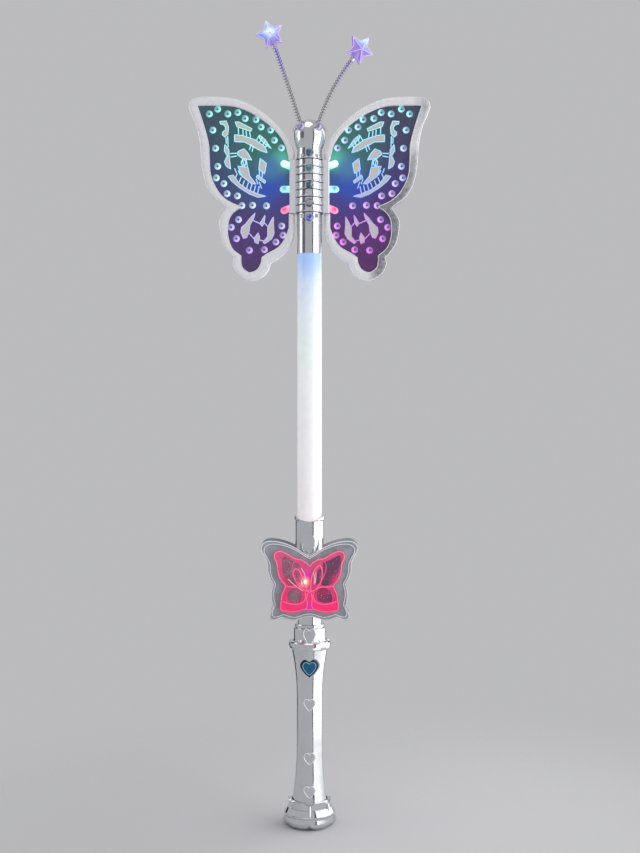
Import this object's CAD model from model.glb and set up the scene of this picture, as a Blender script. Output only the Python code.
import math
import bmesh
import bpy
import numpy as np
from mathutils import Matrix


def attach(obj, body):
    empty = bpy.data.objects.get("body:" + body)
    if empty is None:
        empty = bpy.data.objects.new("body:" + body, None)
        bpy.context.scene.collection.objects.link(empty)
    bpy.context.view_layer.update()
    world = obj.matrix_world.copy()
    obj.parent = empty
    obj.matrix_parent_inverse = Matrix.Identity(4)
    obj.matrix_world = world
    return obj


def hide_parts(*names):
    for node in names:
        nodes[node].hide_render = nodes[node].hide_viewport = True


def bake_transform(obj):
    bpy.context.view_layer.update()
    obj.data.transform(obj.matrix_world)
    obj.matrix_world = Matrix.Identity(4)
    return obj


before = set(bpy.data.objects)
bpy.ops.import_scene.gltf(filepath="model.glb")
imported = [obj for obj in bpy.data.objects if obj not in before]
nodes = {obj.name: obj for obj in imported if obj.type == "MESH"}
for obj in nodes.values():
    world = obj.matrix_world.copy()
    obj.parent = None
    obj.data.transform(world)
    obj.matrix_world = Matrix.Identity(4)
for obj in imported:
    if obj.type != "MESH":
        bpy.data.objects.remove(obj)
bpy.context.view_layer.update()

mm = 0.001
backwards = np.array([(0.0, 1.0, 0.0)])
print("frame loaded:", len(nodes), "nodes")


# A point list becomes a smooth line: each span is a cubic through its four nearest points,
# and the line is then cut into steps of equal length.
def smoothLine(points, count):
    spots = np.array(points, float)
    if len(spots) == 2:
        return spots[0] + (spots[1] - spots[0]) * np.linspace(0, 1, count)[:, None]
    padded = np.vstack([2 * spots[0] - spots[1], spots, 2 * spots[-1] - spots[-2]])
    run = np.linspace(0, len(spots) - 1, 30 * (len(spots) - 1) + 1)
    span = np.minimum(run.astype(int), len(spots) - 2)
    f = (run - span)[:, None]
    a, b, c, d = padded[span], padded[span + 1], padded[span + 2], padded[span + 3]
    curve = (2 * a - 5 * b + 4 * c - d) * f**2 / 2 + (3 * b - a - 3 * c + d) * f**3 / 2
    line = b + (c - a) * f / 2 + curve
    length = np.r_[0, np.cumsum(np.linalg.norm(np.diff(line, axis=0), axis=1))]
    steps = np.linspace(0, length[-1], count)
    return np.column_stack([np.interp(steps, length, line[:, k]) for k in range(line.shape[1])])


# The same line with its first point added at the end, so that it closes on itself.
def closedLine(points, count):
    spots = np.array(points, float)
    return smoothLine(np.vstack([spots, spots[:1]]), count)[:-1]


# Straight steps from corner to corner, so that the corners stay sharp.
def cornerLine(corners, perSide, closed=True):
    spots = np.array(corners, float)
    ends = np.roll(spots, -1, axis=0) if closed else spots[1:]
    starts = spots if closed else spots[:-1]
    share = np.arange(perSide) / perSide
    line = starts[:, None, :] + (ends - starts)[:, None, :] * share[None, :, None]
    line = line.reshape(-1, spots.shape[1])
    return line if closed else np.vstack([line, spots[-1]])


# Equal angles all the way round.
def fullTurn(count):
    return np.arange(count) * 2 * np.pi / count


# Puts points and faces into a mesh object that rides on a body, with its faces turned outwards.
def makePiece(name, points, faces, body, material, smooth=True, marks=None):
    mesh = bpy.data.meshes.new(name)
    mesh.from_pydata(np.asarray(points, float).tolist(), [], [list(face) for face in faces])
    shape = bmesh.new()
    shape.from_mesh(mesh)
    bmesh.ops.recalc_face_normals(shape, faces=shape.faces)
    shape.to_mesh(mesh)
    shape.free()
    if marks is not None:
        layer = mesh.attributes.new("glowShare", "FLOAT", "POINT")
        layer.data.foreach_set("value", np.asarray(marks, np.float32))
    mesh.polygons.foreach_set("use_smooth", np.full(len(mesh.polygons), smooth))
    mesh.materials.append(material)
    piece = bpy.data.objects.new(name, mesh)
    bpy.context.scene.collection.objects.link(piece)
    if body:
        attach(piece, body)
    return piece


# Faces of a grid of rows by columns; a closed direction joins its last line to its first.
def gridFaces(rows, columns, closeRows=False, closeColumns=False, offset=0):
    row, column = np.meshgrid(np.arange(rows if closeRows else rows - 1),
                              np.arange(columns if closeColumns else columns - 1), indexing="ij")
    nextRow = (row + 1) % rows
    nextColumn = (column + 1) % columns
    quads = np.stack([row * columns + column, nextRow * columns + column,
                      nextRow * columns + nextColumn, row * columns + nextColumn], axis=-1)
    return (quads.reshape(-1, 4) + offset).tolist()


# A fan that closes a ring of points: each step of the ring makes a triangle with the middle.
def fanFaces(middle, first, count):
    ring = np.arange(count)
    return np.column_stack([np.full(count, middle), first + ring, first + (ring + 1) % count]).tolist()


# A round wire: at each point of the path a circle lies in the plane of side and cross,
# where side is the given direction made square to the path.
def wireGrid(path, side, radius, sides, closed=False):
    if closed:
        way = np.roll(path, -1, axis=0) - np.roll(path, 1, axis=0)
    else:
        way = np.gradient(path, axis=0)
    way = way / np.linalg.norm(way, axis=1, keepdims=True)
    side = side - way * np.sum(side * way, axis=1, keepdims=True)
    side = side / np.linalg.norm(side, axis=1, keepdims=True)
    cross = np.cross(way, side)
    angle = fullTurn(sides)
    ringSide = side[:, None, :] * np.cos(angle)[None, :, None]
    ringCross = cross[:, None, :] * np.sin(angle)[None, :, None]
    return path[:, None, :] + (ringSide + ringCross) * radius


# Many wires as one mesh, each with a fan at both ends or closed on itself.
def makeWires(name, wires, body, material):
    points, faces, offset = [], [], 0
    for path, side, radius, sides, closed in wires:
        rows = len(path)
        points.append(wireGrid(path, side, radius, sides, closed).reshape(-1, 3))
        faces += gridFaces(rows, sides, closed, True, offset)
        first = offset
        offset += rows * sides
        if not closed:
            points.append(path[[0, -1]])
            faces += fanFaces(offset, first, sides) + fanFaces(offset + 1, offset - sides, sides)
            offset += 2
    return makePiece(name, np.vstack(points), faces, body, material)


# A line drawn in X and Z, in millimetres, put at a depth and turned into metres.
def standUp(line, depth, turn=1):
    flat = np.asarray(line, float)
    return np.column_stack([flat[:, 0] * turn, np.full(len(flat), depth * turn), flat[:, 1]]) * mm


# The shader's sockets by short names.
sockets = {"base": "Base Color", "light": "Emission Color", "glow": "Emission Strength", "alpha": "Alpha",
           "metal": "Metallic", "rough": "Roughness", "coat": "Coat Weight", "coatRough": "Coat Roughness",
           "shine": "Specular IOR Level", "normal": "Normal"}


# One material, with plain values set on its shader.
def newMaterial(name, **values):
    material = bpy.data.materials.new(name)
    material.use_nodes = True
    shader = material.node_tree.nodes["Principled BSDF"]
    for key, value in values.items():
        shader.inputs[sockets[key]].default_value = value
    return material, material.node_tree, shader


# Leads worked-out values into the shader.
def feed(tree, shader, **values):
    for key, value in values.items():
        tree.links.new(value, shader.inputs[sockets[key]])


# One node. An input is named, or counted as n0, n1 and so on, and takes a value or a link.
def addNode(tree, kind, settings=None, **inputs):
    node = tree.nodes.new(kind)
    for key, value in (settings or {}).items():
        setattr(node, key, value)
    for key, value in inputs.items():
        socket = node.inputs[int(key[1:])] if key[0] == "n" and key[1:].isdigit() else node.inputs[key]
        if isinstance(value, bpy.types.NodeSocket):
            tree.links.new(value, socket)
        else:
            socket.default_value = value
    return node


def calc(tree, operation, first, second=0.0):
    return addNode(tree, "ShaderNodeMath", {"operation": operation}, n0=first, n1=second).outputs[0]


def objectSpot(tree):
    return addNode(tree, "ShaderNodeTexCoord").outputs["Object"]


def along(tree, axis):
    return addNode(tree, "ShaderNodeSeparateXYZ", n0=objectSpot(tree)).outputs[axis]


def noise(tree, scale, detail=3.0, rough=0.5):
    node = addNode(tree, "ShaderNodeTexNoise", Vector=objectSpot(tree), Scale=scale, Detail=detail,
                   Roughness=rough)
    return node.outputs["Fac"]


def cells(tree, scale):
    return addNode(tree, "ShaderNodeTexVoronoi", Vector=objectSpot(tree), Scale=scale)


def mapRange(tree, value, low, high, toLow=0.0, toHigh=1.0):
    return addNode(tree, "ShaderNodeMapRange", n0=value, n1=low, n2=high, n3=toLow, n4=toHigh).outputs[0]


def ramp(tree, value, stops):
    node = addNode(tree, "ShaderNodeValToRGB", n0=value)
    band = node.color_ramp
    while len(band.elements) < len(stops):
        band.elements.new(0.5)
    for element, (place, colour) in zip(band.elements, stops):
        element.position = place
        element.color = (*colour, 1.0)
    return node.outputs["Color"]


def mixColour(tree, share, first, second, blend="MIX"):
    node = addNode(tree, "ShaderNodeMix", {"data_type": "RGBA", "blend_type": blend})
    for socket, value in ((node.inputs[0], share), (node.inputs[6], first), (node.inputs[7], second)):
        if isinstance(value, bpy.types.NodeSocket):
            tree.links.new(value, socket)
        else:
            socket.default_value = value if isinstance(value, float) else (*value, 1.0)
    return node.outputs[2]


# Light and dark grain laid over a colour.
def grained(tree, share, base, grain, top):
    return mixColour(tree, share, base, ramp(tree, grain, [(0.3, (0, 0, 0)), (top, (1, 1, 1))]), "OVERLAY")


def scaled(values, share):
    return tuple(share * value for value in values)


def twoTones(low, high):
    return [(0.0, low), (1.0, high)]


def bump(tree, shader, height, strength, distance):
    node = addNode(tree, "ShaderNodeBump", Strength=strength, Distance=distance, Height=height)
    feed(tree, shader, normal=node.outputs["Normal"])


# How near a place is to a lamp: 1 at the lamp, falling smoothly to 0 at the reach.
def nearness(tree, place, reach):
    away = addNode(tree, "ShaderNodeVectorMath", {"operation": "DISTANCE"}, n0=objectSpot(tree),
                   n1=scaled(place, mm))
    return addNode(tree, "ShaderNodeMapRange", {"interpolation_type": "SMOOTHSTEP"},
                   n0=away.outputs["Value"], n1=0.0, n2=reach * mm, n3=1.0, n4=0.0).outputs[0]


# A base colour that turns towards each lamp's own colour near that lamp.
def lampGlow(tree, base, lamps):
    colour = base
    for place, reach, tint in lamps:
        colour = mixColour(tree, nearness(tree, place, reach), colour, tint)
    return colour


ribs = {"low": 427.5, "pitch": 5.3, "count": 8, "radius": 8.95, "wire": 0.5, "steps": 72, "sides": 10,
        "line": 0.37, "lineHalf": (0.03, 0.07), "dark": (0.05, 0.05, 0.06)}
silver = {"colour": (0.76, 0.77, 0.8), "dull": 0.93, "roughness": 0.06, "rubbed": 0.13, "wave": 0.1,
          "peel": 0.05, "depth": 0.0011}
satin = {"roughness": 0.24, "wave": 0.16, "low": (0.86, 0.86, 0.9), "high": (0.95, 0.95, 0.98),
         "farLow": (0.1, 0.1, 0.12), "farHigh": (0.42, 0.42, 0.46), "rise": (0.435, 0.475),
         "farX": (0.04, 0.072), "farShare": (0.95, 0.5), "fade": 0.008}
seat = {"from": 9.5, "to": 9.9, "metal": 0.3}


# Silver metal film on plastic: slow waves from the moulding, fine orange peel on top of them,
# and faint dulling in patches where hands rub it.
def filmTone(tree, shader, roughness, wave):
    stops = [(0.3, scaled(silver["colour"], silver["dull"])), (0.7, silver["colour"])]
    tone = ramp(tree, noise(tree, 55.0, 4.0, 0.6), stops)
    rubbed = mapRange(tree, noise(tree, 210.0, 6.0, 0.7), 0.3, 0.75, roughness, roughness + silver["rubbed"])
    feed(tree, shader, base=tone, rough=rubbed)
    peel = calc(tree, "MULTIPLY", noise(tree, 1500.0, 2.0), silver["peel"])
    bump(tree, shader, calc(tree, "ADD", noise(tree, 95.0, 1.0), peel), wave, silver["depth"])
    return tone


def silverFilm(name):
    material, tree, shader = newMaterial(name, metal=1.0)
    filmTone(tree, shader, silver["roughness"], silver["wave"])
    return material


# The frosted film on the rims and the wings' seats: mostly white, less like a mirror, and on the
# right it turns to a darker mottled grey towards the wing's far edge.
def satinFilm(name, metallic, side):
    material, tree, shader = newMaterial(name, metal=metallic)
    filmTone(tree, shader, satin["roughness"], satin["wave"])
    mottle = mapRange(tree, noise(tree, 420.0, 5.0, 0.7), 0.3, 0.7)
    tone = mixColour(tree, mottle, satin["low"], satin["high"])
    if side > 0:
        height = along(tree, "Z")
        edge = mapRange(tree, height, *satin["rise"], *satin["farX"])
        past = mapRange(tree, calc(tree, "SUBTRACT", along(tree, "X"), edge), 0.0, satin["fade"])
        share = calc(tree, "MULTIPLY", past, mapRange(tree, height, *satin["rise"], *satin["farShare"]))
        tone = mixColour(tree, share, tone, mixColour(tree, mottle, satin["farLow"], satin["farHigh"]))
    feed(tree, shader, base=tone)
    return material


# 1 in the dark line under each rib of the body: the height is cut into steps of one pitch and
# the line lies a little below the middle of each step.
def grooveShare(tree):
    height = along(tree, "Z")
    low = (ribs["low"] - ribs["pitch"] / 2) * mm
    steps = mapRange(tree, height, low, low + ribs["pitch"] * mm)
    steps.node.clamp = False
    away = calc(tree, "ABSOLUTE", calc(tree, "SUBTRACT", calc(tree, "FRACT", steps), ribs["line"]))
    line = mapRange(tree, away, *ribs["lineHalf"], 1.0, 0.0)
    inside = calc(tree, "GREATER_THAN", height, low)
    under = calc(tree, "LESS_THAN", height, low + ribs["count"] * ribs["pitch"] * mm)
    return calc(tree, "MULTIPLY", line, calc(tree, "MULTIPLY", inside, under))


# Chrome on the body, and frosted film on the wing seats at its sides.
def bodyFilm(name):
    material, tree, shader = newMaterial(name)
    chrome = filmTone(tree, shader, silver["roughness"], silver["wave"])
    away = calc(tree, "ABSOLUTE", along(tree, "X"))
    share = mapRange(tree, away, seat["from"] * mm, seat["to"] * mm)
    grooved = mixColour(tree, grooveShare(tree), chrome, ribs["dark"])
    feed(tree, shader, base=mixColour(tree, share, grooved, satin["low"]))
    feed(tree, shader, metal=mapRange(tree, share, 0.0, 1.0, 1.0, seat["metal"]))
    return material


# A clear or tinted plastic that lets part of the scene through and glows near its lamps.
def clearPlastic(name, stops, lamps, alpha, glow, roughness=0.12, low=0.38, high=0.51, grain=900.0):
    material, tree, shader = newMaterial(name, rough=roughness, alpha=alpha, coat=0.6, coatRough=0.04,
                                         glow=glow)
    shift = mapRange(tree, noise(tree, 60.0), 0.0, 1.0, -0.006, 0.006)
    place = calc(tree, "ADD", along(tree, "Z"), shift)
    tone = ramp(tree, mapRange(tree, place, low, high), stops)
    lit = lampGlow(tree, grained(tree, 0.16, tone, noise(tree, 240.0, 5.0), 0.75), lamps)
    feed(tree, shader, base=lit, light=lit)
    bump(tree, shader, noise(tree, grain), 0.12, 0.0003)
    return material


# Light that comes out of a moulded edge or dot, coloured by its height on the wand.
def edgeLight(name, stops, low, high, glow, marked=False):
    material, tree, shader = newMaterial(name, rough=0.2, glow=glow)
    colour = ramp(tree, mapRange(tree, along(tree, "Z"), low, high), stops)
    flicker = mapRange(tree, noise(tree, 700.0), 0.25, 0.75, 0.72, 1.0)
    tone = mixColour(tree, flicker, scaled(stops[-1][1], 0.5), colour)
    if marked:
        share = addNode(tree, "ShaderNodeAttribute", {"attribute_name": "glowShare"}).outputs["Fac"]
        tone = mixColour(tree, share, (0.05, 0.07, 0.14), tone)
    feed(tree, shader, base=tone, light=tone)
    bump(tree, shader, noise(tree, 2500.0, 2.0), 0.08, 0.0002)
    return material


# A lamp's clear head: its hot colour in the middle of the dome and its own towards the rim.
def lampHead(name, colour, hot, centre, reach, glow):
    material, tree, shader = newMaterial(name, rough=0.08, coat=0.8, glow=glow)
    speck = mapRange(tree, cells(tree, 900.0).outputs["Distance"], 0.0, 0.7, 1.0, 0.8)
    tone = mixColour(tree, nearness(tree, centre, reach), colour, hot)
    tone = mixColour(tree, speck, scaled(colour, 0.6), tone)
    feed(tree, shader, base=tone, light=tone)
    bump(tree, shader, noise(tree, 800.0, 2.0), 0.1, 0.0002)
    return material


# A cut stone: deep colour with lighter flecks from its back facets.
def cutStone(name, deep, light):
    material, tree, shader = newMaterial(name, rough=0.06, coat=1.0, coatRough=0.03, glow=0.12)
    level = addNode(tree, "ShaderNodeSeparateColor", n0=cells(tree, 520.0).outputs["Color"]).outputs[0]
    tone = ramp(tree, level, [(0.25, deep), (0.8, light)])
    feed(tree, shader, base=tone, light=tone)
    bump(tree, shader, level, 0.15, 0.0004)
    return material


# Plain hidden parts: a colour with a fine speckle and a little unevenness.
def plainPart(name, colour, other, roughness, scale, metallic=0.0):
    material, tree, shader = newMaterial(name, metal=metallic)
    tone = ramp(tree, noise(tree, scale, 4.0), [(0.35, colour), (0.7, other)])
    rough = mapRange(tree, noise(tree, scale * 3), 0.3, 0.7, roughness, roughness + 0.15)
    feed(tree, shader, base=tone, rough=rough)
    bump(tree, shader, noise(tree, scale * 6, 2.0), 0.1, 0.0002)
    return material


def dress(material, *names):
    for name in names:
        mesh = nodes[name].data
        mesh.materials.clear()
        mesh.materials.append(material)


filmBright = silverFilm("silverFilm")
rimFilms = {"left": satinFilm("rimFilmLeft", 0.08, -1), "right": satinFilm("rimFilmRight", 0.2, 1)}
rimEdge = satinFilm("rimEdgeFilm", 0.2, -1)
dress(filmBright, "pommel_cap", "handle_front_shell", "handle_back_shell", "battery_door", "handle_collar",
      "stem_front_shell", "stem_back_shell", "tube_socket", "head_front_shell", "head_back_shell",
      "left_star_socket", "right_star_socket")
dress(bodyFilm("bodyFilm"), "body_front_shell", "body_back_shell")


# Ribs round the body: one circle, lifted by one pitch for each rib.
def ribWires():
    turn = fullTurn(ribs["steps"])
    circle = np.column_stack([ribs["radius"] * np.cos(turn), ribs["radius"] * np.sin(turn),
                              np.zeros(len(turn))])
    lines = [(circle + (0, 0, ribs["low"] + k * ribs["pitch"])) * mm for k in range(ribs["count"])]
    return [(line, np.array([(0.0, 0.0, 1.0)]), ribs["wire"] * mm, ribs["sides"], True) for line in lines]


makeWires("bodyRibs", ribWires(), "wand", filmBright)
print("silver pieces dressed")

wing = {"rootX": 10.5, "reach": 74.2, "low": 379.9, "height": 128.4, "flangeLow": 36.3, "flangeHigh": 65.7}


# Places given in percent of the wing's reach and height, as millimetres on the right wing.
def wingSpot(percent):
    spots = np.array(percent, float)
    return np.column_stack([wing["rootX"] + spots[:, 0] * wing["reach"] / 100,
                            wing["low"] + spots[:, 1] * wing["height"] / 100])


rimOutside = [
    [(0, wing["flangeHigh"]), (0, 69.8)],
    [(0, 69.8), (4.7, 76.3), (12.3, 82.3), (23.6, 88.9), (39.1, 95.1), (54.7, 98.7), (70.3, 100),
     (89.1, 100), (97.7, 98.2), (100, 94.6)],
    [(100, 94.6), (96.9, 89.7), (92.3, 83.4), (89.1, 74.3), (87.5, 62.5), (84.4, 53.4), (78.3, 46.3),
     (67.2, 40.9), (64.3, 39.3)],
    [(64.3, 39.3), (68.8, 35.4), (71.1, 31.8), (70.3, 26.4), (67.9, 20.2), (62.5, 15.5), (57.8, 12.6)],
    [(57.8, 12.6), (58.6, 8.3), (54.7, 3.8), (47.2, 0.5), (39.1, 0), (29.6, 2.0), (24.2, 5.6), (22.3, 9.4)],
    [(22.3, 9.4), (15.6, 11.6), (7.7, 15.5), (1.5, 21.8), (0, 26.4)],
    [(0, 26.4), (0, wing["flangeLow"])],
]
rimInside = [
    [(5.5, wing["flangeHigh"]), (6.1, 68.0)],
    [(6.1, 68.0), (9.4, 74.3), (17.0, 80.7), (28.3, 86.5), (42.5, 91.6), (57.8, 94.7), (78.3, 95.2),
     (90.9, 95.1)],
    [(90.9, 95.1), (84.4, 83.4), (80.5, 74.3), (79.7, 65.4), (78.3, 57.2), (71.9, 49.1), (62.5, 43.6),
     (49.2, 40.0)],
    [(49.2, 40.0), (54.7, 38.2), (60.4, 34.5), (62.5, 29.1), (61.7, 22.9), (57.8, 17.4), (50.0, 13.6)],
    [(50.0, 13.6), (49.9, 10.1), (48.4, 7.1), (42.5, 4.7), (35.8, 6.0), (32.1, 9.3), (31.1, 12.8)],
    [(31.1, 12.8), (26.4, 14.7), (15.6, 18.3), (9.4, 22.9), (5.4, 28.9)],
    [(5.4, 28.9), (5.4, wing["flangeLow"])],
]
# Across the rim from the window (0) to the outside (1), with the depth of the front face there.
rimSection = [
    (0.0, -1.1), (0.02, -2.1), (0.08, -2.6), (0.16, -2.86), (0.3, -2.98), (0.5, -3.0), (0.68, -2.96),
    (0.8, -2.8), (0.9, -2.4), (0.96, -1.8), (1.0, -1.0), (1.0, -0.2), (0.985, 0.0),
]
rimShape = {"lineSteps": 90, "shortSteps": 6, "tracks": (2, 8), "wire": 0.28, "sides": 6, "sink": 0.1}


# A rim: each cross-section runs from the window's edge to the outside and back behind,
# and is carried from the top of the root right round to the foot of the root.
def wingRim(name, side, material):
    outside, inside = [], []
    for outer, inner in zip(rimOutside, rimInside):
        count = rimShape["shortSteps"] if len(outer) == 2 else rimShape["lineSteps"]
        outside.append(smoothLine(wingSpot(outer), count)[:-1])
        inside.append(smoothLine(wingSpot(inner), count)[:-1])
    outside = np.vstack(outside + [wingSpot(rimOutside[-1])[-1:]])
    inside = np.vstack(inside + [wingSpot(rimInside[-1])[-1:]])
    front = np.array(rimSection)
    section = np.vstack([front, front[::-1][1:] * (1, -1)])
    share = section[:, 0][None, :, None]
    flat = inside[:, None, :] * (1 - share) + outside[:, None, :] * share
    depth = np.broadcast_to(section[:, 1][None, :], flat.shape[:2])
    grid = np.stack([flat[..., 0] * side, depth, flat[..., 1]], axis=-1) * mm
    rows, columns = grid.shape[:2]
    middle = rows * columns
    faces = gridFaces(rows, columns, False, True)
    faces += fanFaces(middle, 0, columns) + fanFaces(middle + 1, (rows - 1) * columns, columns)
    tracks = [grid[3:-3, k] + (0, -rimShape["sink"] * mm, 0) for k in rimShape["tracks"]]
    wires = [(track, backwards, rimShape["wire"] * mm, rimShape["sides"], False) for track in tracks]
    makeWires(name + "Edges", wires, "wand", rimEdge)
    points = np.vstack([grid.reshape(-1, 3), grid[[0, -1]].mean(axis=1)])
    return makePiece(name, points, faces, "wand", material)


for side, word in ((1, "right"), (-1, "left")):
    rim = wingRim(word + "WingRim", side, rimFilms[word])
    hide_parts(word + "_wing_front_rim", word + "_wing_rear_rim")
print("wing rims made")

wingLight = {"glow": 0.35, "alpha": 0.94, "teal": (0.024, 0.155, 0.125),
             "tealReach": {"left": 58.0, "right": 44.0}}
# x, z, reach and colour of the lamps' other glows in a wing
wingGlows = [(27, 445, 23.0, (0.015, 0.06, 0.4)), (18, 431, 15.0, (0.05, 0.03, 0.2)),
             (19, 464, 12.0, (0.1, 0.5, 0.38)), (27, 459, 15.0, (0.05, 0.17, 0.36))]
# from the tail to the top
wingTones = {
    "left": [(0.0, (0.06, 0.026, 0.11)), (0.25, (0.06, 0.026, 0.15)), (0.5, (0.036, 0.032, 0.16)),
             (0.75, (0.028, 0.05, 0.11)), (1.0, (0.036, 0.09, 0.1))],
    "right": [(0.0, (0.08, 0.014, 0.1)), (0.25, (0.08, 0.016, 0.14)), (0.5, (0.042, 0.024, 0.16)),
              (0.75, (0.038, 0.036, 0.1)), (1.0, (0.038, 0.056, 0.092))],
}
for side, word in ((1, "right"), (-1, "left")):
    lamps = [((side * 22, 0, 472), wingLight["tealReach"][word], wingLight["teal"])]
    lamps += [((side * x, 0, z), reach, tint) for x, z, reach, tint in wingGlows]
    tinted = clearPlastic(word + "WingTint", wingTones[word], lamps, wingLight["alpha"], wingLight["glow"])
    dress(tinted, word + "_wing_plate")

dots = {"sides": 20, "glow": 0.8, "litFrom": 3.6, "even": 0.62}
dotSpots = [
    (72.4, 93.4), (80.2, 90.8), (62.8, 90.8), (53.4, 91.6), (46.5, 88.3), (36.3, 87.7), (31.5, 83.7),
    (22.6, 82.0), (19.0, 76.5), (12.3, 72.3), (76.9, 82.0), (74.4, 72.1), (72.4, 62.3), (73.7, 56.0),
    (66.6, 52.9), (63.5, 47.4), (53.8, 46.2), (49.6, 40.9), (39.5, 41.1), (26.5, 40.8), (52.8, 33.3),
    (59.6, 29.1), (54.7, 22.9), (42.5, 16.6), (28.4, 16.9), (17.5, 21.1), (12.0, 29.8), (10.8, 24.8),
]
# radius, depth and brightness of a dot from its dark middle out over its lit ring and down behind
dotSection = [
    (0.55, -0.42, 0.0), (0.72, -0.6, 0.3), (0.95, -0.95, 1.0), (1.55, -1.18, 1.0), (2.1, -1.2, 0.95),
    (2.38, -1.1, 0.8), (2.45, -0.95, 0.6), (2.4, -0.3, 0.2),
]
dotTones = {
    "left": [(0.0, (0.62, 0.22, 0.78)), (0.22, (0.6, 0.4, 0.9)), (0.42, (0.62, 0.72, 1.0)),
             (0.62, (0.5, 0.86, 0.95)), (1.0, (0.3, 0.88, 0.76))],
    "right": [(0.0, (0.78, 0.08, 0.62)), (0.22, (0.74, 0.16, 0.78)), (0.42, (0.66, 0.36, 0.95)),
              (0.62, (0.52, 0.55, 0.95)), (1.0, (0.34, 0.85, 0.86))],
}


# Dots of light: the section is turned about each dot's own middle, with a flat cap at both ends.
def wingDots(name, side, material):
    centres = wingSpot(dotSpots)
    section = np.array(dotSection)
    angle = fullTurn(dots["sides"])
    x = centres[:, None, None, 0] + section[None, :, None, 0] * np.cos(angle)
    z = centres[:, None, None, 1] + section[None, :, None, 0] * np.sin(angle)
    y = np.broadcast_to(section[None, :, None, 1], x.shape)
    grid = np.stack([x * side, y, z], axis=-1) * mm
    rows, columns = len(section), dots["sides"]
    lit = section[:, 2:] * (dots["even"] + (1 - dots["even"]) * np.cos(angle - dots["litFrom"]))[None, :]
    points, faces, marks = [], [], []
    for k, dot in enumerate(grid):
        offset = k * (rows * columns + 2)
        middle = offset + rows * columns
        faces += gridFaces(rows, columns, False, True, offset)
        faces += fanFaces(middle, offset, columns) + fanFaces(middle + 1, middle - columns, columns)
        points += [dot.reshape(-1, 3), dot[[0, -1]].mean(axis=1)]
        marks += [lit.reshape(-1), [0.0, 0.0]]
    return makePiece(name, np.vstack(points), faces, "wand", material, marks=np.concatenate(marks))


for side, word in ((1, "right"), (-1, "left")):
    dotLight = edgeLight(word + "DotLight", dotTones[word], 0.385, 0.505, dots["glow"], marked=True)
    wingDots(word + "WingDots", side, dotLight)

cutEdges = {"radius": 0.36, "depth": -1.0, "sides": 6, "glow": 0.65, "rung": 1.2, "eye": 1.3,
            "eyeSpot": (48.0, 64.2), "eyeSize": (1.5, 2.2), "eyeSteps": 24}
cutShapes = [
    [(70.3, 86.7), (64.3, 86.9), (62.1, 83.6), (62.7, 79.8), (65.5, 78.2), (67.9, 79.4), (67.7, 80.9),
     (65.0, 82.0), (64.9, 83.6), (66.9, 85.0), (69.7, 85.3)],
    [(65.5, 74.2), (61.9, 71.4), (61.3, 66.6), (60.1, 60.7), (64.3, 62.4), (65.9, 64.7), (63.3, 68.0),
     (66.1, 70.7)],
    [(55.9, 86.4), (52.3, 86.4), (40.2, 82.8), (41.0, 81.3), (54.1, 83.8)],
    [(56.5, 79.4), (49.3, 79.1), (37.2, 76.7), (27.6, 72.8), (25.6, 69.6), (32.4, 70.9), (42.0, 73.9),
     (46.9, 75.5), (56.5, 75.7)],
    [(33.0, 79.4), (27.6, 76.8), (21.8, 71.8), (27.6, 74.2), (33.0, 77.5)],
    [(52.9, 70.4), (47.5, 71.8), (43.9, 69.4), (40.2, 65.7), (49.3, 66.6), (53.8, 68.7)],
    [(32.4, 66.6), (26.4, 63.8), (28.2, 58.2), (33.6, 60.7)],
    [(53.5, 62.4), (43.9, 61.7), (42.0, 56.8), (36.0, 52.5), (40.8, 53.0), (49.3, 56.8)],
    [(62.5, 56.8), (57.7, 57.5), (51.7, 52.7), (43.3, 49.4), (33.6, 47.1), (27.0, 46.0), (34.0, 45.4),
     (42.0, 47.1), (51.7, 50.6), (58.9, 54.1)],
    [(36.0, 56.2), (34.9, 57.6), (27.1, 54.3), (28.0, 53.0)],
    [(37.0, 36.9), (38.4, 33.9), (42.0, 30.4), (42.7, 26.9), (45.1, 23.5), (48.1, 23.1), (50.5, 26.2),
     (49.9, 29.0), (45.7, 31.1), (42.0, 33.9)],
    [(27.6, 35.8), (28.6, 31.3), (30.6, 29.6), (32.5, 31.2)],
    [(19.8, 34.8), (19.8, 30.4), (19.2, 25.5), (21.6, 22.8), (27.8, 20.2), (29.6, 20.8), (25.2, 24.2),
     (25.2, 29.0), (22.2, 32.5)],
    [(34.2, 26.1), (32.8, 23.5), (34.2, 20.1), (37.4, 21.0), (37.8, 23.3)],
]
# rungs of light between the cut-outs, each from one end to the other
rungs = [
    (52.9, 83.2, 52.7, 79.7), (48.6, 82.2, 48.3, 79.2), (45.6, 81.7, 45.2, 78.7), (42.2, 80.9, 41.4, 77.9),
    (36.2, 76.0, 33.4, 79.0), (33.0, 75.1, 30.4, 78.2), (30.0, 73.8, 27.4, 76.4), (27.6, 72.6, 24.8, 74.6),
    (64.5, 78.0, 64.3, 74.6), (62.9, 78.6, 62.5, 72.6), (60.5, 69.2, 54.4, 69.4), (60.3, 67.3, 54.4, 67.9),
    (40.6, 74.2, 42.6, 71.2), (38.4, 73.4, 40.2, 70.2), (56.4, 61.2, 54.6, 58.6), (53.0, 60.0, 50.8, 57.4),
    (55.8, 55.6, 53.8, 58.4), (52.2, 53.4, 50.2, 56.4), (48.8, 51.8, 47.0, 54.6), (45.2, 50.2, 43.4, 53.4),
    (41.8, 49.2, 40.0, 52.6), (38.2, 48.4, 36.6, 51.8), (34.6, 47.8, 33.4, 51.4), (33.0, 57.2, 33.0, 60.2),
    (30.4, 56.2, 30.2, 59.2), (33.2, 53.8, 31.0, 50.2), (36.2, 55.4, 34.4, 52.6), (39.4, 32.9, 31.6, 30.9),
    (28.4, 31.6, 25.4, 29.6), (42.6, 25.7, 37.8, 22.6), (32.9, 22.2, 29.0, 21.6), (49.0, 66.2, 47.4, 62.3),
    (45.4, 65.9, 44.4, 62.1),
]
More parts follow.
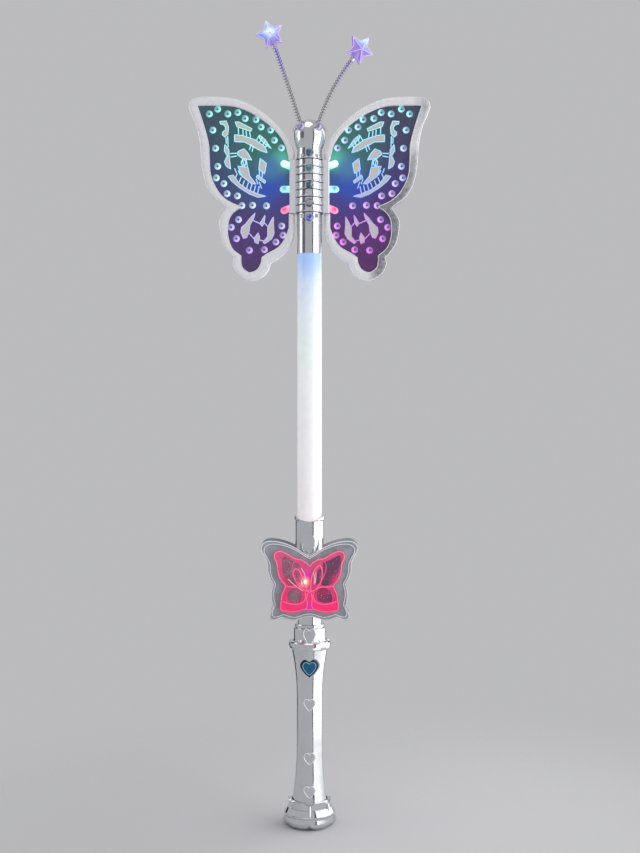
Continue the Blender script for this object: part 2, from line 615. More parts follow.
edgeTones = {
    "left": [(0.0, (0.5, 0.3, 0.7)), (0.3, (0.48, 0.42, 0.8)), (0.5, (0.4, 0.55, 0.95)),
             (0.7, (0.36, 0.74, 0.9)), (1.0, (0.35, 0.82, 0.72))],
    "right": [(0.0, (0.6, 0.1, 0.5)), (0.3, (0.5, 0.22, 0.75)), (0.5, (0.28, 0.4, 0.95)),
              (0.7, (0.3, 0.6, 0.92)), (1.0, (0.32, 0.78, 0.8))],
}


# Bright moulded edges round the cut-outs, the ladder rungs between them, and one oval eye.
def wingLines(name, side, material):
    turn = fullTurn(cutEdges["eyeSteps"])
    oval = np.column_stack([np.cos(turn), np.sin(turn)]) * cutEdges["eyeSize"]
    oval = wingSpot([cutEdges["eyeSpot"]]) + oval
    lines = [(cornerLine(wingSpot(corners), 5), 1.0, True) for corners in cutShapes]
    lines += [(cornerLine(wingSpot(ends), 4, False), cutEdges["rung"], False)
              for ends in np.reshape(rungs, (-1, 2, 2))]
    lines += [(oval, cutEdges["eye"], True)]
    wires = [(standUp(line * (side, 1), cutEdges["depth"]), backwards, share * cutEdges["radius"] * mm,
              cutEdges["sides"], closed) for line, share, closed in lines]
    return makeWires(name, wires, "wand", material)


for side, word in ((1, "right"), (-1, "left")):
    lineLight = edgeLight(word + "CutEdgeLight", edgeTones[word], 0.395, 0.495, cutEdges["glow"])
    wingLines(word + "WingLines", side, lineLight)
print("wing lights made")

# lamps at the wing roots
lampRows = {
    "lower": {"x": 17.6, "z": 429.6, "colour": (1.0, 0.35, 0.58), "hot": (0.8, 0.03, 0.22), "glow": 0.6,
              "reach": 3.3},
    "middle": {"x": 17.6, "z": 444.6, "colour": (0.5, 0.92, 1.0), "hot": (0.02, 0.38, 0.55), "glow": 0.6,
               "reach": 3.3},
    "upper": {"x": 17.0, "z": 462.4, "colour": (0.1, 0.7, 0.5), "hot": (0.9, 1.0, 0.96), "glow": 1.4,
              "reach": 6.0},
}
for row, look in lampRows.items():
    for side, word in ((1, "right"), (-1, "left")):
        name = word + row.capitalize() + "Lamp"
        centre = (side * look["x"], -2.4, look["z"])
        head = lampHead(name, look["colour"], look["hot"], centre, look["reach"], look["glow"])
        dress(head, word + "_" + row + "_led")

# stones on the body and the eyes
stones = {
    "body_gem_1": {"z": 422.6, "deep": (0.05, 0.05, 0.36), "light": (0.26, 0.28, 0.8)},
    "body_gem_2": {"z": 433.0, "deep": (0.05, 0.05, 0.07), "light": (0.32, 0.32, 0.37), "radius": 3.2},
    "body_gem_3": {"z": 445.1, "deep": (0.02, 0.05, 0.07), "light": (0.2, 0.32, 0.36)},
    "body_gem_4": {"z": 456.9, "deep": (0.01, 0.06, 0.07), "light": (0.1, 0.3, 0.32)},
    "body_gem_5": {"z": 467.7, "deep": (0.01, 0.02, 0.06), "light": (0.05, 0.14, 0.28)},
}
eyeStones = {"x": 5.9, "z": 485.6, "deep": (0.22, 0.19, 0.36), "light": (0.72, 0.68, 0.92), "faceY": -9.4}
# rings from the foot up: share of the radius, depth from the face and turn in half facets
stoneShape = {"radius": 2.6, "facets": 12, "faceY": -9.9,
              "rings": [(1.0, 1.0, 0), (1.0, -0.05, 0), (0.78, -0.8, 1), (0.48, -1.25, 0)]}


# A cut stone: rings of corners at the girdle, the crown and the table, each ring turned half
# a facet from the one before, joined by flat triangles.
def cutStonePiece(name, spots, faceY, material, radius):
    facets = stoneShape["facets"]
    half = np.pi / facets
    j = np.arange(facets)
    after = (j + 1) % facets
    points, faces = [], []
    for k, (x, z) in enumerate(spots):
        for share, deep, turned in stoneShape["rings"]:
            angle = j * 2 * half + half * turned
            points.append(np.column_stack([x + radius * share * np.cos(angle), np.full(facets, faceY + deep),
                                           z + radius * share * np.sin(angle)]) * mm)
        foot = k * len(stoneShape["rings"]) * facets
        girdle, crown, table = foot + facets, foot + 2 * facets, foot + 3 * facets
        bands = [(girdle + j, girdle + after, crown + j), (girdle + after, crown + after, crown + j),
                 (crown + j, table + after, table + j), (crown + j, crown + after, table + after)]
        faces += gridFaces(2, facets, False, True, foot)
        faces += np.vstack([np.column_stack(band) for band in bands]).tolist()
        faces += [(table + j).tolist(), (foot + j[::-1]).tolist()]
    return makePiece(name, np.vstack(points), faces, "wand", material, smooth=False)


for name, look in stones.items():
    glass = cutStone("stoneGlass" + name[-1], look["deep"], look["light"])
    radius = look.get("radius", stoneShape["radius"])
    stone = cutStonePiece("stone" + name[-1], [(0.0, look["z"])], stoneShape["faceY"], glass, radius)
    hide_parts(name)
eyeSpots = [(side * eyeStones["x"], eyeStones["z"]) for side in (-1, 1)]
eyeGlass = cutStone("eyeGlass", eyeStones["deep"], eyeStones["light"])
eyes = cutStonePiece("eyeStones", eyeSpots, eyeStones["faceY"], eyeGlass, stoneShape["radius"])
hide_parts("eye_gems")
print("stones made")

# the small butterfly
badge = {"faceY": -12.5, "lineY": -13.0, "plateY": -11.0, "line": 0.42, "thinLine": 0.3,
         "hot": (-3.3, -12.0, 170.8),
         "pinkInset": 0.6, "edgeInsets": (0.35, 2.3), "pane": 0.5, "spark": 0.45,
         "sparkSize": (1.9, 2.2, 70.0, 24),
         "low": 0.148, "high": 0.193}
pinkEdge = [
    (0, 181.9), (1.6, 183.8), (3.6, 185.3), (6.2, 186.7), (10.1, 187.4), (15.4, 190.4), (19.4, 192.3),
    (22.2, 192.4), (24.3, 191.0), (24.6, 188.0), (22.8, 183.4), (22.1, 177.7), (20.2, 172.6), (16.9, 167.9),
    (19.0, 162.9), (19.9, 157.7), (20.2, 151.6), (17.4, 150.5), (12.4, 149.8), (7.6, 150.3), (3.4, 151.6),
    (0, 151.4),
]
plateEdge = [
    (0, 188.1), (4.8, 191.1), (10.1, 194.5), (17.0, 197.4), (23.4, 198.9), (28.6, 199.0), (31.6, 197.9),
    (33.4, 195.6), (33.2, 192.2), (31.2, 188.7), (29.2, 183.9), (28.9, 178.2), (27.6, 173.7), (25.2, 168.9),
    (26.3, 164.5), (26.4, 158.5), (25.3, 153.6), (26.8, 149.8), (27.6, 146.6), (26.4, 144.4), (23.4, 144.5),
    (19.1, 146.0), (14.6, 144.6), (10.4, 144.0), (7.0, 145.0), (3.4, 146.2), (0, 146.6),
]
fieldLines = [
    [(-18.7, 187.0), (-17.2, 188.2), (-14.6, 187.4), (-10.4, 184.6), (-6.6, 182.0), (-8.6, 179.4),
     (-11.0, 178.0), (-10.2, 173.6), (-7.6, 169.6), (-12.6, 168.6), (-15.6, 169.9), (-17.6, 174.0),
     (-18.6, 180.6)],
    [(9.3, 184.2), (15.0, 186.4), (18.1, 188.3), (20.6, 189.0), (22.0, 187.6), (21.6, 184.0), (20.0, 178.0),
     (18.6, 173.6), (15.0, 169.6), (10.0, 168.4), (8.2, 170.0), (9.4, 174.0), (9.4, 178.2)],
    [(-13.4, 165.8), (-9.8, 166.4), (-6.4, 164.0), (-3.8, 160.6), (-4.4, 158.2), (-7.6, 156.8),
     (-12.6, 156.6), (-14.8, 158.8), (-14.9, 162.6)],
    [(3.6, 163.4), (6.6, 165.8), (11.0, 167.0), (14.6, 165.4), (16.6, 161.6), (17.1, 157.9), (11.6, 156.6),
     (6.6, 157.6), (3.9, 160.0)],
]
# the two petals in the middle and the pale strokes beside them
rightPetal = [
    (0.9, 164.0), (4.6, 166.2), (7.6, 170.4), (9.0, 175.6), (8.8, 179.6), (7.2, 182.3), (4.6, 180.4),
    (2.2, 176.4), (1.2, 171.6), (0.9, 167.6),
]
leftPetal = [
    (-1.2, 164.2), (-5.0, 166.0), (-8.6, 170.2), (-10.9, 174.6), (-11.2, 178.0), (-9.4, 180.0),
    (-6.9, 178.4), (-5.3, 174.8), (-4.3, 170.6), (-2.6, 167.2),
]
petalPanes = [
    [(4.4, 167.2), (7.0, 171.0), (8.2, 175.6), (7.9, 179.2), (6.4, 179.6), (5.0, 176.0), (4.8, 171.4)],
    [(-5.4, 168.2), (-8.4, 172.2), (-10.1, 176.4), (-9.4, 178.6), (-7.6, 177.2), (-6.4, 173.4)],
]
petalStrokes = [
    [(-14.8, 173.0), (-10.0, 168.6), (-4.6, 164.8)],
    [(-5.6, 180.6), (-3.4, 176.4), (-2.9, 173.0)],
    [(2.8, 178.4), (3.5, 173.6), (3.2, 169.2)],
    [(4.4, 178.0), (4.5, 174.0), (3.9, 170.0)],
]
# strokes on the right that a mirror image joins on the left, with their steps
pairedStrokes = [
    ([(16.4, 168.1), (12.0, 167.4), (7.4, 167.3), (4.0, 165.6), (0, 163.8)], 24),
    ([(1.2, 163.4), (1.9, 159.5), (1.5, 155.0), (2.6, 151.9)], 16),
    ([(3.2, 164.2), (2.6, 160.4), (4.6, 157.0), (9.6, 155.4), (15.0, 156.3), (18.6, 157.6)], 24),
]
diamond = cornerLine([(0, 166.2), (1.1, 164.9), (0, 163.6), (-1.1, 164.9)], 3)


# A half outline from top to foot and its mirror image, as one closed list.
def bothSides(half):
    right = np.array(half, float)
    return np.vstack([right, right[::-1][1:-1] * (-1, 1)])


# An outline pulled in by the same amount at each end of both axes.
def shrunk(line, inset):
    middle = (line.max(axis=0) + line.min(axis=0)) / 2
    size = (line.max(axis=0) - line.min(axis=0)) / 2
    return middle + (line - middle) * (1 - inset / size)


# A leaf: an oval that is wider above its middle, leaned over by an angle.
def leafLine(x, z, wide, tall, lean, count):
    turn = fullTurn(count)
    across, up = wide * np.sin(turn) * (0.75 + 0.25 * np.cos(turn)), tall * np.cos(turn)
    c, s = math.cos(math.radians(lean)), math.sin(math.radians(lean))
    return np.column_stack([x + across * c + up * s, z - across * s + up * c])


# Raised lines that follow an outline on the face.
def faceLines(name, lines, depth, radius, turn, material, body="wand"):
    wires = [(standUp(line, depth, turn), backwards, radius * mm, 8, closed) for line, closed in lines]
    return makeWires(name, wires, body, material)


# Domed panes: rings shrink from an outline to its middle while the face rises as a shallow dome.
def domedPanes(name, outlines, depth, rise, turn, material, body="wand"):
    points, faces, offset = [], [], 0
    share = np.linspace(1, 0.08, 8)
    for line in outlines:
        middle = line.mean(axis=0)
        flat = middle + (line[None, :, :] - middle) * share[:, None, None]
        y = depth - rise * (1 - share**2)[:, None] * np.ones(len(line))
        grid = np.stack([flat[..., 0] * turn, y * turn, flat[..., 1]], axis=-1) * mm
        grid = np.concatenate([standUp(line, depth + 0.5, turn)[None], grid])
        rows, columns = grid.shape[:2]
        points.append(grid.reshape(-1, 3))
        faces += gridFaces(rows, columns, False, True, offset)
        faces.append([offset + (rows - 1) * columns + k for k in range(columns)])
        faces.append([offset + k for k in reversed(range(columns))])
        offset += rows * columns
    return makePiece(name, np.vstack(points), faces, body, material)


# Pink lens, its bright lines and its dark panes, for the front (turn 1) or the rear (turn -1).
def badgeMaterials(turn):
    word = "Front" if turn > 0 else "Rear"
    hot = (turn * badge["hot"][0], turn * badge["hot"][1], badge["hot"][2])
    pinks = [(0.0, (0.86, 0.01, 0.16)), (0.2, (0.8, 0.02, 0.17)), (0.4, (0.62, 0.04, 0.17)),
             (1.0, (0.6, 0.08, 0.21))]
    brights = [(0.0, (0.95, 0.1, 0.28)), (0.6, (0.95, 0.14, 0.32)), (1.0, (0.92, 0.22, 0.38))]
    glows = [((-1.8 * turn, -12 * turn, 175.6), 5.0, (0.78, 0.0, 0.42)),
             ((0, -12 * turn, 152.4), 6.0, (0.72, 0.0, 0.4)),
             ((0.0, -11.0 * turn, 168.0), 6.0, (0.6, 0.02, 0.2)), (hot, 5.5, (1.0, 0.62, 0.35))]
    lens = clearPlastic("pinkLens" + word, pinks, glows, 1.0, 0.35, 0.08, badge["low"], badge["high"], 500.0)
    lines = edgeLight("pinkLines" + word, brights, badge["low"], badge["high"], 0.35)
    return lens, lines, paneGlass("darkPanes" + word, hot, turn)


# Wine-coloured panes with silver specks: paler on one side, lit pink towards the lamp.
def paneGlass(name, hot, turn):
    material, tree, shader = newMaterial(name, rough=0.07, coat=1.0, glow=0.3)
    clouds = noise(tree, 160.0, 5.0, 0.65)
    pales = [(0.3, (0.22, 0.035, 0.08)), (0.55, (0.24, 0.09, 0.14)), (0.75, (0.32, 0.16, 0.22))]
    deeps = [(0.3, (0.14, 0.012, 0.05)), (0.5, (0.11, 0.02, 0.08)), (0.75, (0.2, 0.07, 0.16))]
    share = mapRange(tree, along(tree, "X"), -0.008 * turn, 0.008 * turn)
    cloud = mixColour(tree, share, ramp(tree, clouds, pales), ramp(tree, clouds, deeps))
    lamps = [(hot, 10.0, (0.45, 0.05, 0.14)), ((-17.6 * turn, -12 * turn, 170.6), 6.5, (0.7, 0.01, 0.1)),
             ((18.6 * turn, -12 * turn, 172.6), 6.0, (0.62, 0.01, 0.14)),
             ((9.0 * turn, -12 * turn, 163.6), 7.0, (0.34, 0.0, 0.07))]
    speck = mapRange(tree, cells(tree, 620.0).outputs["Distance"], 0.06, 0.13, 1.0, 0.0)
    tone = mixColour(tree, speck, lampGlow(tree, cloud, lamps), (0.95, 0.85, 0.95))
    feed(tree, shader, base=tone, light=tone)
    bump(tree, shader, noise(tree, 420.0, 4.0), 0.25, 0.0005)
    return material


frost = [(0.0, (0.33, 0.36, 0.4)), (0.5, (0.37, 0.4, 0.45)), (1.0, (0.35, 0.39, 0.43))]
plateGlass = clearPlastic("frostedPlate", frost, [], 0.9, 0.06, 0.25, 0.144, 0.2, 700.0)
plateLine = edgeLight("plateEdges", twoTones((0.74, 0.74, 0.78), (0.84, 0.85, 0.88)), 0.144, 0.2, 0.15)
strokeLight = edgeLight("paleStrokes", twoTones((0.92, 0.45, 0.58), (0.98, 0.62, 0.72)), 0.16, 0.185, 0.2)
sparkLight = edgeLight("sparkLight", twoTones((1.0, 0.92, 0.72), (1.0, 0.98, 0.8)), 0.16, 0.18, 0.5)
dress(plateGlass, "medallion_front_plate", "medallion_rear_plate")
lines = [(shrunk(closedLine(bothSides(pinkEdge), 160), badge["pinkInset"]), True), (diamond, True)]
lines += [(closedLine(petal, 60), True) for petal in (rightPetal, leftPetal)]
for stroke, count in pairedStrokes:
    lines += [(smoothLine(np.array(stroke) * (side, 1), count), False) for side in (1, -1)]
inner = [(smoothLine(stroke, 20), False) for stroke in petalStrokes]
fields = [closedLine(field, 60) for field in fieldLines + petalPanes]
spark = leafLine(badge["hot"][0], badge["hot"][2], *badge["sparkSize"])
border = closedLine(bothSides(plateEdge), 220)
edges = [(shrunk(border, inset), True) for inset in badge["edgeInsets"]]
for turn, word in ((1, "front"), (-1, "rear")):
    lens, lineGlow, panes = badgeMaterials(turn)
    dress(lens, "medallion_" + word + "_lens")
    faceLines(word + "BadgeStrokes", inner, badge["lineY"], badge["thinLine"], turn, strokeLight)
    domedPanes(word + "BadgeSpark", [spark], badge["faceY"], badge["spark"], turn, sparkLight)
    faceLines(word + "BadgeLines", lines, badge["lineY"], badge["line"], turn, lineGlow)
    domedPanes(word + "BadgePanes", fields, badge["faceY"], badge["pane"], turn, panes)
    faceLines(word + "BadgeEdges", edges, badge["plateY"], badge["thinLine"], turn, plateLine)
dress(lampHead("badgeLamp", (0.9, 0.15, 0.4), (1.0, 0.9, 0.6), (0, -8.0, 171.0), 6.0, 2.0), "medallion_leds")
print("small butterfly made")

# the light tube, from its foot to its top
tubeTones = [
    (0.0, (0.84, 0.8, 0.82)), (0.15, (0.82, 0.81, 0.83)), (0.5, (0.82, 0.83, 0.85)),
    (0.62, (0.77, 0.84, 0.82)), (0.78, (0.74, 0.8, 0.86)), (0.93, (0.6, 0.7, 0.9)),
    (1.0, (0.42, 0.56, 0.9)),
]
tube = {"topGlow": ((0, -8.6, 399), 26.0, (0.36, 0.54, 0.92)), "glow": 0.32, "roughness": 0.3,
        "low": 0.216, "high": 0.398, "grain": 1200.0}
tubeGlass = clearPlastic("frostedTube", tubeTones, [tube["topGlow"]], 1.0, tube["glow"], tube["roughness"],
                         tube["low"], tube["high"], tube["grain"])
dress(tubeGlass, "light_tube")

# the button's heart and the raised hearts
heart = {"size": (12.3, 11.7, 111.0), "faceY": -12.0, "paneInset": 1.7, "ringInset": 1.5, "ring": 0.3,
         "relief": 0.38, "navy": (0.0, 0.005, 0.03), "centre": (0.0, 0.1, 0.23), "light": (0.0, 0.15, 0.32),
         "outline": (0.2, 0.55, 0.7)}
# a heart's right half, in shares of its half width and half height
heartHalf = [
    (0, 0.7), (0.22, 0.9), (0.5, 0.98), (0.8, 0.86), (0.97, 0.5), (0.93, 0.12), (0.8, -0.15), (0.42, -0.66),
    (0, -1),
]
# width, height, middle height and face depth of each raised heart on the grip and the collar
reliefHearts = [(8.7, 9.0, 85.3, -9.75), (8.7, 9.0, 48.0, -9.89), (8.7, 9.0, 25.5, -11.74),
                (9.2, 12.2, 132.9, -12.3)]
# the outline on the socket's front, right side first
leaf = [
    (0, 200.2), (2.2, 197.6), (4.2, 194.6), (3.4, 191.2), (0, 188.9), (-3.4, 191.2), (-4.8, 194.4),
    (-2.6, 197.8),
]
leafWire = {"round": 10.0, "radius": 0.45}


# A heart: its smooth right half and that half's mirror image.
def heartLine(wide, tall, z, inset):
    half = smoothLine(np.array(heartHalf) * (wide / 2 - inset, tall / 2 - inset) + (0, z), 30)
    return np.vstack([half, half[::-1][1:-1] * (-1, 1)])


def glossBlue(name, deep, light):
    material, tree, shader = newMaterial(name, metal=0.5, coat=0.5, coatRough=0.05, rough=0.22)
    feed(tree, shader, base=ramp(tree, noise(tree, 300.0, 4.0), [(0.3, deep), (0.7, light)]))
    bump(tree, shader, noise(tree, 900.0), 0.1, 0.0003)
    return material


# The leaf on the socket: a flat outline laid on a round front, so its depth is a circle's.
def leafPath():
    flat = np.vstack([smoothLine(leaf[:5], 40)[:-1], smoothLine(leaf[4:] + leaf[:1], 40)[:-1]])
    depth = -np.sqrt(leafWire["round"]**2 - flat[:, 0] ** 2)
    return np.column_stack([flat[:, 0], depth, flat[:, 1]]) * mm


dress(glossBlue("heartRim", heart["navy"], scaled(heart["navy"], 1.6)), "heart_button")
heartWire = edgeLight("heartOutline", twoTones(heart["outline"], heart["outline"]), 0.1, 0.12, 0.05)
heartCentre = glossBlue("heartCentre", heart["centre"], heart["light"])
heartFilm = satinFilm("heartFilm", 0.6, -1)
domedPanes("heartPane", [heartLine(*heart["size"], heart["paneInset"])], heart["faceY"] - 0.1, 0.35, 1,
           heartCentre, "button")
faceLines("heartLineRing", [(heartLine(*heart["size"], heart["ringInset"]), True)], heart["faceY"] - 0.05,
          heart["ring"], 1, heartWire, "button")
for k, (wide, tall, z, faceY) in enumerate(reliefHearts):
    outline = [(heartLine(wide, tall, z, 0.45), True)]
    faceLines("reliefHeart" + str(k + 1), outline, faceY, heart["relief"], 1, heartFilm)
makeWires("socketLeaf", [(leafPath(), backwards, leafWire["radius"] * mm, 8, True)], "wand", heartFilm)
print("hearts made")

coil = {"radius": 1.5, "wire": 0.3, "perTurn": 20, "sides": 8, "pitch": 2.0, "footX": 6.0, "footZ": 488.4}
lead = {"below": 2, "steps": 40, "radius": 0.45, "sides": 10}
antennae = {
    "left": {"side": -1, "lean": 17.4, "bend": 2.0, "length": 57.0},
    "right": {"side": 1, "lean": 17.4, "bend": 19.0, "length": 51.0},
}
# where each star glows, how far, and the colour there; the first is its brightest spot
starGlows = {
    "left": [((-28.2, -3.8, 553.4), 9.0, (0.24, 0.5, 0.92)), ((-28.2, -3.8, 553.8), 5.6, (0.86, 0.98, 1.0)),
             ((-30.4, -1.5, 561.5), 5.5, (0.5, 0.85, 1.0)), ((-36.5, -1.5, 552.5), 4.5, (0.05, 0.2, 0.72))],
    "right": [((38.6, -3.6, 548.4), 9.0, (0.22, 0.5, 0.92)), ((38.6, -3.6, 549.0), 5.6, (0.86, 0.98, 1.0)),
              ((39.5, -1.5, 553.0), 4.0, (0.04, 0.3, 0.74)), ((44.5, -1.5, 540.5), 4.0, (0.45, 0.5, 0.9))],
}
star = {"centre": 10.4, "radius": 10.3, "inner": 5.6, "front": 4.4, "rim": 1.1, "edge": 0.26,
        "lampReach": 6.0,
        "yaw": {"left": 0.0, "right": 24.0}, "ridges": twoTones((0.62, 0.52, 0.92), (0.78, 0.8, 1.0))}
lilac = [(0.0, (0.26, 0.17, 0.56)), (0.5, (0.33, 0.21, 0.58)), (1.0, (0.38, 0.26, 0.62))]


# The centre line is one shallow arc: its lean grows steadily from the foot, so the point at a
# length is the arc's chord from the foot.
def antennaLine(look, run):
    lean = math.radians(look["lean"])
    rate = math.radians(look["bend"]) / look["length"]
    leans = lean + rate * run
    x = coil["footX"] + (math.cos(lean) - np.cos(leans)) / rate
    z = coil["footZ"] + (np.sin(leans) - math.sin(lean)) / rate
    return np.column_stack([look["side"] * x, np.zeros(len(run)), z]), leans


# A coil is the centre line plus a circle that turns at a steady rate along it.
def springWire(word, look, material):
    turns = int(look["length"] / coil["pitch"])
    turn = np.linspace(0, turns, turns * coil["perTurn"] + 1)
    line, leans = antennaLine(look, turn * look["length"] / turns)
    outward = np.column_stack([look["side"] * np.cos(leans), np.zeros(len(turn)), -np.sin(leans)])
    angle = 2 * np.pi * turn
    around = outward * np.cos(angle)[:, None] + backwards * np.sin(angle)[:, None]
    path = (line + around * coil["radius"]) * mm
    return makeWires(word + "Spring", [(path, around, coil["wire"] * mm, coil["sides"], False)], None,
                     material)


# A lead is a round wire on the centre line.
def leadWire(word, look, material):
    line = antennaLine(look, np.linspace(-lead["below"], look["length"], lead["steps"]))[0]
    wires = [(line * mm, backwards, lead["radius"] * mm, lead["sides"], False)]
    return makeWires(word + "Lead", wires, None, material)


# Dark steel that takes a violet tint towards the star.
def springSteel(name):
    material, tree, shader = newMaterial(name, metal=1.0)
    steel = ramp(tree, noise(tree, 900.0, 4.0), [(0.35, (0.24, 0.23, 0.23)), (0.7, (0.42, 0.41, 0.4))])
    tint = mapRange(tree, along(tree, "Z"), 0.515, 0.545, 0.0, 0.85)
    rough = mapRange(tree, noise(tree, 2700.0), 0.3, 0.7, 0.18, 0.33)
    feed(tree, shader, base=mixColour(tree, tint, steel, (0.28, 0.2, 0.85)), rough=rough)
    bump(tree, shader, noise(tree, 5400.0, 2.0), 0.1, 0.0002)
    return material


def leadCover(name):
    material, tree, shader = newMaterial(name, rough=0.35, glow=0.2)
    stops = [(0.0, (0.36, 0.36, 0.38)), (0.5, (0.36, 0.35, 0.42)), (0.75, (0.22, 0.18, 0.6)),
             (1.0, (0.25, 0.18, 0.95))]
    tone = ramp(tree, mapRange(tree, along(tree, "Z"), 0.5, 0.545), stops)
    feed(tree, shader, base=grained(tree, 0.2, tone, noise(tree, 1500.0), 0.7), light=tone)
    bump(tree, shader, noise(tree, 2000.0), 0.15, 0.0002)
    return material


# Bright ridges of a star: from the middle of each face to its five points, and round its rim.
def starEdges(word, look, material):
    tip, leans = antennaLine(look, np.array([look["length"]]))
    lean = leans[0] * look["side"]
    up = np.array([math.sin(lean), 0, math.cos(lean)])
    out = np.array([math.cos(lean), 0, -math.sin(lean)])
    yaw = math.radians(star["yaw"][word])
    across = out * math.cos(yaw) + np.array([0, math.sin(yaw), 0])
    deep = -out * math.sin(yaw) + np.array([0, math.cos(yaw), 0])
    corner = np.arange(10)
    angle = np.pi / 2 + corner * np.pi / 5
    reach = np.where(corner % 2 == 0, star["radius"], star["inner"]) * 0.95
    depth = np.full(10, -star["rim"] - 0.05 * (star["front"] - star["rim"]))
    rim = np.column_stack([reach * np.cos(angle), depth, reach * np.sin(angle)])
    wires = []
    for face in (1, -1):
        corners = rim * (1, face, 1)
        middle = np.array([(0, -star["front"] * face, 0)])
        paths = [(cornerLine(corners, 4), True)]
        paths += [(cornerLine(np.vstack([middle, point]), 6, False), False) for point in corners[::2]]
        for path, closed in paths:
            spots = (tip[0] + (path + (0, 0, star["centre"])) @ np.stack([across, deep, up])) * mm
            wires.append((spots, deep[None, :], star["edge"] * mm, 6, closed))
    return makeWires(word + "StarEdges", wires, word + "_star", material)


springMaterial = springSteel("springSteel")
leadMaterial = leadCover("leadCover")
for word, look in antennae.items():
    foot = antennaLine(look, np.array([0.0]))[0][0] * mm
    pieces = {"_antenna_spring": springWire(word, look, springMaterial),
              "_antenna_lead": leadWire(word, look, leadMaterial)}
    for node, piece in pieces.items():
        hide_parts(word + node)
        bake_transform(piece)
    hot = starGlows[word][0][0]
    low = hot[2] * mm - 0.012
    high = low + 0.022
    glass = clearPlastic(word + "StarGlass", lilac, starGlows[word], 0.95, 0.45, 0.05, low, high, 400.0)
    lamp = lampHead(word + "StarLamp", (0.4, 0.6, 1.0), (0.95, 1.0, 1.0), hot, star["lampReach"], 2.0)
    dress(glass, word + "_star")
    dress(lamp, word + "_star_led")
    starEdges(word, look, edgeLight(word + "StarEdge", star["ridges"], low, high, 0.3))
print("antennae made")

# pieces inside, with the colour, second colour, roughness, grain and metal of each kind
innerLooks = {
    "boardGreen": (["control_board", "tube_led_strip", "wing_led_board"],
                   (0.01, 0.1, 0.04), (0.02, 0.16, 0.07), 0.35, 500.0),
    "switchBlack": (["switch_body", "switch_plunger"], (0.015, 0.015, 0.017), (0.03, 0.03, 0.03), 0.4, 700.0),
    "leadBlack": (["power_leads"], (0.02, 0.02, 0.02), (0.04, 0.04, 0.04), 0.45, 800.0),
    "cellWrap": (["battery_cell_lower", "battery_cell_upper"],
                 (0.02, 0.05, 0.12), (0.03, 0.07, 0.16), 0.25, 120.0, 0.3),
    "contactSteel": (["battery_spring", "battery_contact"],
                     (0.5, 0.5, 0.5), (0.65, 0.65, 0.65), 0.25, 600.0, 1.0),
    "screwSteel": (["battery_door_screw"], (0.45, 0.45, 0.46), (0.62, 0.62, 0.63), 0.3, 900.0, 1.0),
}
for name, (pieces, *look) in innerLooks.items():
    dress(plainPart(name, *look), *pieces)
dress(edgeLight("stripLamps", twoTones((0.9, 0.9, 0.8), (0.9, 0.95, 1.0)), 0.2, 0.4, 1.5), "tube_leds")
print("inner pieces dressed")

studio = {"floor": (0.62, 0.62, 0.635), "floorEdge": 400.0, "air": (0.5, 0.5, 0.515)}
floorShape = {"radii": [0.05, 0.1, 0.2, 0.3, 0.42], "steps": 48}
# place, target, brightness as seen, width and height of each lamp
boxes = {
    "rightBox": ((0.36, -0.01, 0.15), (0, -0.01, 0.15), 1.2, 0.98, 1.3),
    "leftBox": ((-0.38, 0.09, 0.56), (0, 0.09, 0.56), 1.2, 0.4, 0.26),
    "topBox": ((-0.1, -0.15, 1.15), (0, 0, 0.5), 1.1, 0.5, 0.5),
}
papers = {"cardPaper": (0.01, 0.01, 0.012), "greyPaper": (0.13, 0.13, 0.16)}
# start, end, foot, height and paper of each card
cards = {
    "rightCard": ((0.285, -0.56), (0.352, -0.51), -0.5, 1.35, "cardPaper"),
    "rightBackCard": ((0.355, 0.5), (0.25, 0.55), -0.5, 1.35, "cardPaper"),
    "leftBackCard": ((-0.37, 0.28), (-0.28, 0.39), -0.5, 1.35, "cardPaper"),
    "highCard": ((-0.39, -0.2), (-0.29, -0.345), 0.43, 0.24, "greyPaper"),
}
view = {"place": (0.00735, -0.829, 0.27804), "lens": 50.0, "sensor": 36.0}


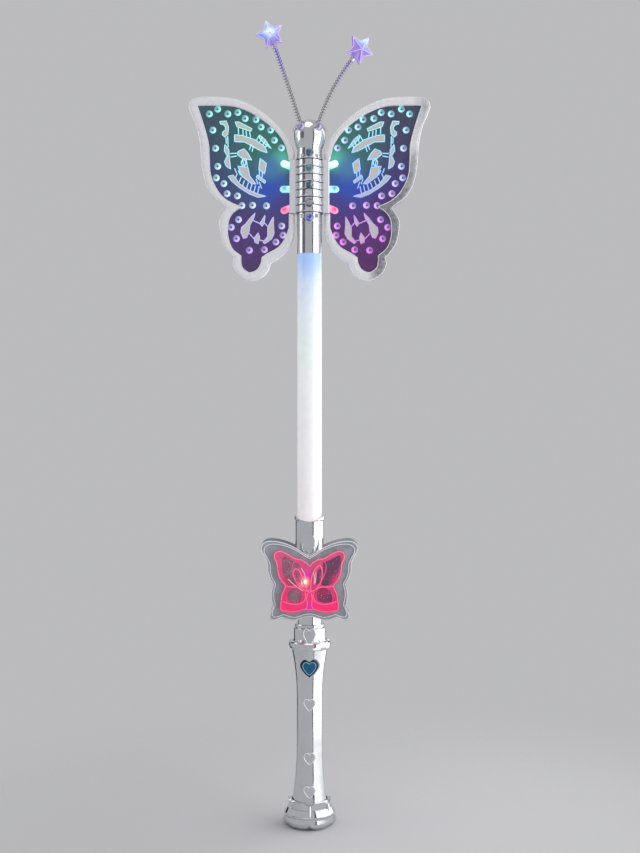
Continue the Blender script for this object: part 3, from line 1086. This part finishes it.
# A round floor that fades out into the air around it, so that no edge or horizon shows.
def roundFloor():
    radius = np.array(floorShape["radii"])
    angle = fullTurn(floorShape["steps"])
    x, y = radius[:, None] * np.cos(angle), radius[:, None] * np.sin(angle)
    points = np.vstack([np.stack([x, y, 0 * x], axis=-1).reshape(-1, 3), [(0, 0, 0)]])
    faces = gridFaces(len(radius), len(angle), False, True) + fanFaces(len(points) - 1, 0, len(angle))
    material, tree, shader = newMaterial("floorPaper", rough=0.9, shine=0.1)
    tone = ramp(tree, noise(tree, 3.0, 4.0), [(0.35, scaled(studio["floor"], 0.97)), (0.7, studio["floor"])])
    near = calc(tree, "MULTIPLY", nearness(tree, (0, 0, 0), studio["floorEdge"]), 1.15)
    feed(tree, shader, base=tone, alpha=near)
    bump(tree, shader, noise(tree, 400.0), 0.04, 0.0003)
    floor = makePiece("floor", points, faces, None, material)


# A lamp with an even rectangular face, whose brightness is given as seen, 1 being white.
def softBox(name, place, target, bright, wide, tall):
    data = bpy.data.lights.new(name, "AREA")
    data.shape = "RECTANGLE"
    data.size, data.size_y = wide, tall
    data.energy = bright * math.pi * wide * tall
    lamp = bpy.data.objects.new(name, data)
    bpy.context.scene.collection.objects.link(lamp)
    aim = np.array(target) - np.array(place)
    lamp.location = place
    tilt = math.atan2(math.hypot(aim[0], aim[1]), -aim[2])
    lamp.rotation_euler = (tilt, 0, math.atan2(aim[1], aim[0]) - math.pi / 2)
    lamp.visible_camera = False


# A narrow dark card beside a lamp, which draws a thin dark line on polished metal.
def darkCard(name, start, end, foot, tall, material):
    low = np.array([(*start, foot), (*end, foot)])
    grid = np.stack([low, low + (0, 0, tall)])
    card = makePiece(name, grid.reshape(-1, 3), gridFaces(2, 2), None, material, smooth=False)
    card.visible_camera = False
    card.visible_shadow = False
    card.visible_diffuse = False


roundFloor()
for name, look in boxes.items():
    softBox(name, *look)
paperMaterials = {name: newMaterial(name, rough=1.0, base=(*tone, 1.0))[0] for name, tone in papers.items()}
for name, (start, end, foot, tall, paper) in cards.items():
    darkCard(name, start, end, foot, tall, paperMaterials[paper])

world = bpy.data.worlds.new("studioAir")
bpy.context.scene.world = world
world.use_nodes = True
world.node_tree.nodes["Background"].inputs["Color"].default_value = (*studio["air"], 1.0)

cameraData = bpy.data.cameras.new("photoCamera")
cameraData.lens = view["lens"]
cameraData.sensor_width = view["sensor"]
camera = bpy.data.objects.new("photoCamera", cameraData)
bpy.context.scene.collection.objects.link(camera)
camera.location = view["place"]
camera.rotation_euler = (math.pi / 2, 0, 0)
bpy.context.scene.camera = camera
bpy.context.scene.view_settings.view_transform = "Standard"
print("studio set")
